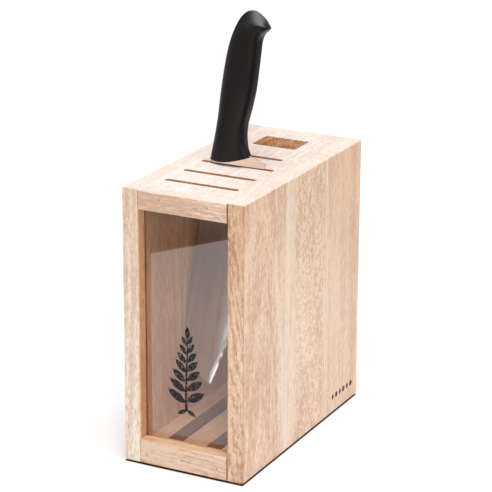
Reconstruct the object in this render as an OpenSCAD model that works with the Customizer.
// Free-standing wooden knife block with a glazed front, four slots, a scissors hole and one knife.
// The block's own coordinates run right, back and up from its lower left front corner.

/* [Block] */
// Outside width, across the front
block_w = 112; // [108:1:120]
// Depth of the side boards, front to back
side_d = 224; // [220:1:240]
// Height of the side boards
block_h = 240; // [236:1:250]
// Thickness of the side, top and back boards
board_t = 15; // [14:0.5:16]
// Staves glued edge to edge in each side board
side_staves = 3; // [2:1:4]
// Width of the eased edges
ease = 0.7; // [0.3:0.1:1]

/* [Front] */
// How far the rails stand proud of the side boards
rail_proud = 1; // [0:0.5:2]
// Height of the top rail
top_rail_h = 16.5; // [15.5:0.5:20]
// Height of the bottom rail
bottom_rail_h = 21; // [18:0.5:24]
// Depth of the window reveal in front of the pane
reveal = 10; // [9:0.5:12]
// Thickness of the pane
pane_t = 2.5; // [2:0.1:2.8]

/* [Top] */
// Centre line of the slots and the hole, from the left face
slot_x = 54.3; // [53:0.1:57]
// Length of each knife slot, front to back
slot_lengths = [68, 68, 68, 53];
// Width of a knife slot
slot_w = 5; // [4.8:0.1:6]
// Distance of the first slot from the front
first_slot_y = 36; // [34:1:38]
// Distance from slot to slot
slot_pitch = 31.7; // [31:0.1:33]
// Width of the scissors hole
hole_w = 41.5; // [38:0.5:46]
// Depth of the scissors hole, front to back
hole_d = 29; // [26:1:30]
// Middle of the scissors hole, from the front
hole_y = 180.6; // [178:0.2:182]

/* [Base] */
// Underside of the base above the bottom edges of the sides
base_z = 1.5; // [1:0.5:3]
// Width of each air gap
gap_w = 14.5; // [12:0.5:16]
// Width of the middle slat
middle_slat_w = 22; // [18:0.5:24]
// Width of the strips across the front and the rear of the base
end_strip_w = 11.5; // [10:0.5:14]

/* [Small parts] */
// Thickness of the rubber feet
foot_t = 1.5; // [1:0.5:3]
// Diameter of the rubber feet
foot_dia = 10; // [8:1:12]
// Diameter of the dowels
dowel_dia = 6; // [5:1:8]
// Length of the dowels
dowel_len = 20; // [16:1:20]
// Shank diameter of the brads
brad_dia = 1.2; // [1:0.1:1.4]
// Length of the brads
brad_len = 25; // [20:1:28]

/* [Knife] */
// Lean of the knife, handle to the rear, in degrees
lean = 9.5; // [0:0.5:9.5]
// Tilt of the knife in its slot, handle to the right, in degrees
tilt = 5.6; // [4:0.1:6]
// Thickness of the blade at its spine
blade_t = 2; // [1.6:0.1:2]
// Width of the ground bevel along the cutting edge
bevel_w = 2.6; // [1:0.1:5]
// Thickness of the handle
handle_t = 19; // [16:0.5:19]

/* [Hidden] */
$fn = 32;
eps = 0.01;

wood = "#E8C8AC";
pale_wood = "#F3DDCB";
dark_wood = "#D9B493";
steel = "#B9BBBE";
moulded_black = "#232224";

inner_w = block_w - 2 * board_t;
stave_w = ceil(side_d / side_staves);
back_y = side_d - board_t;
board_len = back_y - reveal;
top_z = block_h - board_t;
base_top = base_z + board_t;

// The pane stands in grooves: how deep they are, and its play in them
groove_d = 4;
groove_w = 3;
pane_play = 0.25;
rebate_h = 5;

// The base: left, middle and right slats between the two end strips
slats_y = reveal + end_strip_w;
slats_len = board_len - 2 * end_strip_w;
base_x = 54.9;
left_gap_x = base_x - middle_slat_w / 2 - gap_w;
right_gap_x = base_x + middle_slat_w / 2;

// Brads: distances from the left face, and their heights
top_brads_x = [35.2, 79.6];
bottom_brads_x = [21.2, 54.8, 87.7];
top_brad_z = 234;
bottom_brad_z = 9;
brad_sink = 0.3;

// Blind dowels between the side boards and what stands between them
dowel_in_side = 9;
dowel_gap = 0.5;
dowel_play = 0.04;
dowel_ys = [45, 180];
dowel_zs = [60, 180];

foot_edge = 12;

// A point on the curve that passes smoothly through pts, for t from 0 to 1
function clamped(pts, i) = pts[max(0, min(len(pts) - 1, i))];
function on_curve(pts, t) =
    let (s = t * (len(pts) - 1), i = min(floor(s), len(pts) - 2), f = s - i,
         a = clamped(pts, i - 1), b = pts[i], c = pts[i + 1], d = clamped(pts, i + 2))
    0.5 * (2 * b + (c - a) * f + (2 * a - 5 * b + 4 * c - d) * f * f
        + (3 * b - a - 3 * c + d) * f * f * f);

// The knife's own plane: across from the spine to the edge, and up along the spine
knife_x = 28.3;
knife_z = block_h - 0.95;
knife_slot = 2;
knife_y = first_slot_y + knife_slot * slot_pitch + (knife_z - top_z - board_t / 2) * tan(lean);
blade_spine = [[2, 20], [0.9, -15], [0, -50], [-0.4, -85], [-0.6, -113], [1.4, -136],
    [6.1, -159], [15.5, -178], [34.2, -188]];
blade_edge = [[50.3, 10.6], [51.3, 3], [51, -25], [50.4, -55], [49.3, -85], [47.6, -112],
    [44.9, -137], [41, -158], [34.6, -188.3]];
blade_stations = 32;
edge_t = 0.2;
tang_x = 10;
tang_w = 14;
tang_from = 8;
tang_to = 105;
tang_t = 1.6;
tang_play = 0.06;
handle_back = [[0.4, 3.4], [0.5, 22], [0, 40], [-1.2, 60], [-1.7, 82], [-0.9, 102], [2.6, 120],
    [9, 130.5], [17.5, 133.6], [27, 129.6], [33.4, 124]];
handle_belly = [[35.2, 12.6], [29.8, 22], [27, 36], [28.3, 53], [29, 68], [28.4, 84], [27.5, 98],
    [26.8, 109], [28, 115], [31.2, 119], [34, 121.6]];
handle_half = [0.9, 0.93, 0.94, 0.97, 1, 1, 0.98, 0.9, 0.74, 0.54, 0.26];
handle_sag = 3.2;
handle_stations = 40;
handle_sides = 24;
handle_square = 2.7;

// The block stands with the middle of its footprint at the origin, on its feet
module in_block() {
    translate([-block_w / 2, rail_proud - (side_d + rail_proud) / 2, foot_t]) children();
}

// The right half repeats the left one in a mirror
module mirrored() {
    translate([block_w, 0, 0]) mirror([1, 0, 0]) children();
}

// What a 45 degree cut takes off an edge that runs from p along +x, +y or +z
module eased_edge(p, along, length) {
    turn = along == "x" ? [0, 90, 0] : along == "y" ? [-90, 0, 0] : [0, 0, 0];
    translate(p) rotate(turn) rotate(45) translate([0, 0, length / 2])
        cube([ease * sqrt(2), ease * sqrt(2), length + 2], center = true);
}

// Dowels along x through a left-hand joint, at the joint plane x = board_t
module dowels_x(points, r, extra) {
    for (p = points) translate([board_t - dowel_in_side - extra, p[0], p[1]])
        rotate([0, 90, 0]) cylinder(r = r, h = dowel_len + 2 * extra);
}

top_dowel_points = [for (y = dowel_ys) [y, top_z + board_t / 2]];
base_dowel_points = [for (y = dowel_ys) [y, base_z + board_t / 2]];
back_dowel_points = [for (z = dowel_zs) [back_y + board_t / 2, z]];

module dowel_holes(points) {
    dowels_x(points, dowel_dia / 2 + dowel_play, dowel_gap);
}

module dowel_set(points) {
    color(dark_wood) {
        dowels_x(points, dowel_dia / 2, 0);
        mirrored() dowels_x(points, dowel_dia / 2, 0);
    }
}

// Brads along y from the front of a rail
module brads(xs, z, r, from, length) {
    for (x = xs) translate([x, from, z]) rotate([-90, 0, 0]) cylinder(r = r, h = length, $fn = 16);
}

module brad_holes(xs, z) {
    brads(xs, z, brad_dia / 2 + dowel_play, -rail_proud - 1, brad_len + 2);
}

module brad_set(xs, z) {
    color(steel) brads(xs, z, brad_dia / 2, brad_sink - rail_proud, brad_len);
}

// Stave i of the left side board, counted from the front; the rear one has what depth is left
module left_stave(i) {
    depth = min(stave_w, side_d - i * stave_w);
    color(wood) difference() {
        translate([0, i * stave_w, 0]) cube([board_t, depth, block_h]);
        translate([board_t - groove_d, reveal, base_top - rebate_h])
            cube([groove_d + 1, groove_w, top_z - base_top + 2 * rebate_h]);
        dowel_holes(top_dowel_points);
        dowel_holes(base_dowel_points);
        dowel_holes(back_dowel_points);
        for (z = [0, block_h]) eased_edge([0, i * stave_w, z], "y", depth);
        for (x = [0, board_t]) eased_edge([x, 0, 0], "z", block_h);
        eased_edge([0, side_d, 0], "z", block_h);
    }
}

// Half of the back board, from the left
module back_stave() {
    color(dark_wood) difference() {
        translate([board_t, back_y, 0]) cube([inner_w / 2, board_t, block_h]);
        dowel_holes(back_dowel_points);
        for (z = [0, block_h]) eased_edge([board_t, side_d, z], "x", inner_w / 2);
    }
}

// A slot with round ends through the top board
module slot_cut(i) {
    reach = (slot_lengths[i] - slot_w) / 2;
    y = first_slot_y + i * slot_pitch;
    for (side = [-1, 1]) translate([slot_x + side * reach, y, top_z - 1])
        cylinder(d = slot_w, h = board_t + 2);
    translate([slot_x - reach, y - slot_w / 2, top_z - 1])
        cube([2 * reach, slot_w, board_t + 2]);
}

// Half of the top board: 0 is the left one, 1 the right one
module top_stave(i) {
    color(pale_wood) difference() {
        translate([board_t + i * inner_w / 2, reveal, top_z]) cube([inner_w / 2, board_len, board_t]);
        for (k = [0 : len(slot_lengths) - 1]) slot_cut(k);
        translate([slot_x - hole_w / 2, hole_y - hole_d / 2, top_z - 1])
            cube([hole_w, hole_d, board_t + 2]);
        translate([0, reveal - 1, top_z - 1]) cube([block_w, groove_w + 1, rebate_h + 1]);
        dowel_holes(top_dowel_points);
        mirrored() dowel_holes(top_dowel_points);
        brad_holes(top_brads_x, top_brad_z);
    }
}

// A rail across the front, with its height, its lower edge and its brads
module rail(z, height, brads_x, brad_z) {
    color(wood) difference() {
        translate([board_t, -rail_proud, z]) cube([inner_w, reveal + rail_proud, height]);
        brad_holes(brads_x, brad_z);
        for (end = [z, z + height]) eased_edge([board_t, -rail_proud, end], "x", inner_w);
        for (x = [board_t, board_t + inner_w]) eased_edge([x, -rail_proud, z], "z", height);
    }
}

module pane() {
    color([0.85, 0.92, 0.93, 0.35])
        translate([board_t - groove_d + pane_play, reveal + pane_play, base_top - rebate_h + pane_play])
            cube([inner_w + 2 * (groove_d - pane_play), pane_t,
                top_z - base_top + 2 * (rebate_h - pane_play)]);
}

// A strip across the base, with its front face at y
module end_strip(y) {
    color(wood) difference() {
        translate([board_t, y, base_z]) cube([inner_w, end_strip_w, board_t]);
        translate([0, reveal - 1, base_top - rebate_h]) cube([block_w, groove_w + 1, rebate_h + 1]);
        brad_holes(bottom_brads_x, bottom_brad_z);
    }
}

// A slat along the base
module slat(x, width) {
    color(wood) difference() {
        translate([x, slats_y, base_z]) cube([width, slats_len, board_t]);
        dowel_holes(base_dowel_points);
        mirrored() dowel_holes(base_dowel_points);
        brad_holes(bottom_brads_x, bottom_brad_z);
    }
}

module foot(x, y) {
    color("#3A332E") translate([x, y, -foot_t])
        cylinder(r1 = foot_dia / 2 - 0.4, r2 = foot_dia / 2, h = foot_t);
}

// A closed skin over rings of points; ring point k mirrors ring point n - 1 - k across y = 0
module loft(rings) {
    n = len(rings[0]);
    last = len(rings) - 1;
    points = [for (ring = rings) each ring];
    sides = [for (i = [0 : last - 1]) for (k = [0 : n - 1]) let (m = (k + 1) % n)
        each [[i * n + k, (i + 1) * n + k, (i + 1) * n + m], [i * n + k, (i + 1) * n + m, i * n + m]]];
    start = [for (k = [0 : n / 2 - 2]) [k, k + 1, n - 2 - k, n - 1 - k]];
    end = [for (k = [0 : n / 2 - 2]) [n - 1 - k, n - 2 - k, k + 1, k] + last * [n, n, n, n]];
    polyhedron(points = points, faces = concat(sides, start, end));
}

// One cross-section of the blade: thick at the spine, thinner towards the bevel, then the edge
function blade_ring(t) =
    let (s = on_curve(blade_spine, t), e = on_curve(blade_edge, t), w = norm(e - s),
         bevel = min(bevel_w, 0.4 * w), b = s + (e - s) * (1 - bevel / w),
         half = blade_t / 2 * (1 - 0.3 * t), thin = half * (1 - 0.3 * min(1, w / 50)), q = edge_t / 2)
    [[s[0], -half, s[1]], [b[0], -thin, b[1]], [e[0], -q, e[1]],
     [e[0], q, e[1]], [b[0], thin, b[1]], [s[0], half, s[1]]];

// One cross-section of the handle: a rounded oblong from the back to the belly
function handle_ring(t) =
    let (b = on_curve(handle_back, t), r = on_curve(handle_belly, t), middle = (b + r) / 2,
         half = handle_t / 2 * on_curve(handle_half, t), sag = handle_sag * pow(max(0, 1 - 4 * t), 2))
    [for (k = [0 : handle_sides - 1]) let (a = 180 + (k + 0.5) * 360 / handle_sides,
         c = sign(cos(a)) * pow(abs(cos(a)), 2 / handle_square),
         s = sign(sin(a)) * pow(abs(sin(a)), 2 / handle_square),
         p = middle + (r - b) / 2 * c - [0, sag * (1 - c * c)])
    [p[0], s * half, p[1]]];

module in_slot() {
    translate([knife_x, knife_y, knife_z]) rotate([-lean, 0, 0]) rotate([0, tilt, 0]) children();
}

module tang(play) {
    translate([tang_x - play, -tang_t / 2 - play, tang_from])
        cube([tang_w + 2 * play, tang_t + 2 * play, tang_to - tang_from + play]);
}

// The pocket in the handle's front end that the blade's shoulder is moulded into
module shoulder_pocket() {
    shoulder = blade_edge[0] - blade_spine[0];
    pocket_t = blade_t + 2 * tang_play;
    translate([blade_spine[0][0], 0, blade_spine[0][1]]) rotate([0, -atan2(shoulder[1], shoulder[0]), 0])
        translate([-tang_play * 8, -pocket_t / 2, -40 + tang_play]) cube([60, pocket_t, 40]);
}

module blade() {
    color(steel) in_slot() union() {
        loft([for (i = [0 : blade_stations]) blade_ring(1 - i / blade_stations)]);
        tang(0);
    }
}

module handle() {
    color(moulded_black) in_slot() difference() {
        loft([for (i = [0 : handle_stations]) handle_ring(i / handle_stations)]);
        tang(tang_play);
        shoulder_pocket();
    }
}

in_block() {
    left_stave(0);  // left_side_front_stave
    left_stave(1);  // left_side_middle_stave
    left_stave(2);  // left_side_rear_stave
    mirrored() left_stave(0);  // right_side_front_stave
    mirrored() left_stave(1);  // right_side_middle_stave
    mirrored() left_stave(2);  // right_side_rear_stave
    back_stave();  // back_left_stave
    mirrored() back_stave();  // back_right_stave
    top_stave(0);  // top_left_stave
    top_stave(1);  // top_right_stave
    rail(block_h - top_rail_h, top_rail_h, top_brads_x, top_brad_z);  // top_rail
    rail(0, bottom_rail_h, bottom_brads_x, bottom_brad_z);  // bottom_rail
    pane();  // window_pane
    end_strip(reveal);  // base_front_strip
    end_strip(back_y - end_strip_w);  // base_rear_strip
    slat(board_t, left_gap_x - board_t);  // base_left_slat
    slat(left_gap_x + gap_w, middle_slat_w);  // base_middle_slat
    slat(right_gap_x + gap_w, block_w - board_t - right_gap_x - gap_w);  // base_right_slat
    brad_set(top_brads_x, top_brad_z);  // top_rail_brads
    brad_set(bottom_brads_x, bottom_brad_z);  // bottom_rail_brads
    dowel_set(top_dowel_points);  // top_dowels
    dowel_set(base_dowel_points);  // base_dowels
    dowel_set(back_dowel_points);  // back_dowels
    foot(board_t / 2, foot_edge);  // front_left_foot
    foot(block_w - board_t / 2, foot_edge);  // front_right_foot
    foot(board_t / 2, side_d - foot_edge);  // rear_left_foot
    foot(block_w - board_t / 2, side_d - foot_edge);  // rear_right_foot
    blade();  // knife_blade
    handle();  // knife_handle
}
